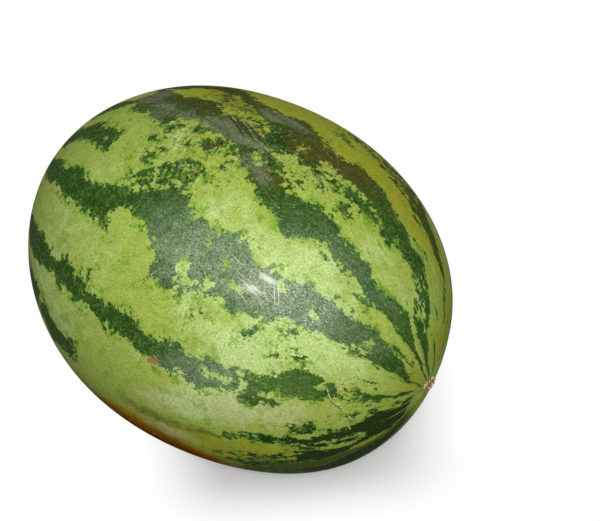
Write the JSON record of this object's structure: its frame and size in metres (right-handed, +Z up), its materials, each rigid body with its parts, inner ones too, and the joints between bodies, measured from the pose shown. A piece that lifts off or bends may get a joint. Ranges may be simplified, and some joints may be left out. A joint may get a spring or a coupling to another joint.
{
  "type": "whole watermelon",
  "caption": "Whole uncut striped watermelon with a smooth waxy rind and a torn corky stalk scar, lying on its side on a small flat.",
  "frame": {"origin": "middle of the bounding box, on the small resting flat at the underside", "axes": "+X along the fruit's long axis towards the end that held the stalk, +Z up"},
  "size_m": [0.31, 0.2494, 0.2477],
  "materials": {
    "rind": "waxy semi-gloss, dark green stripes on yellow-green"
  },
  "bodies": {
    "root": {"watermelon": "rind"}
  },
  "joints": []
}
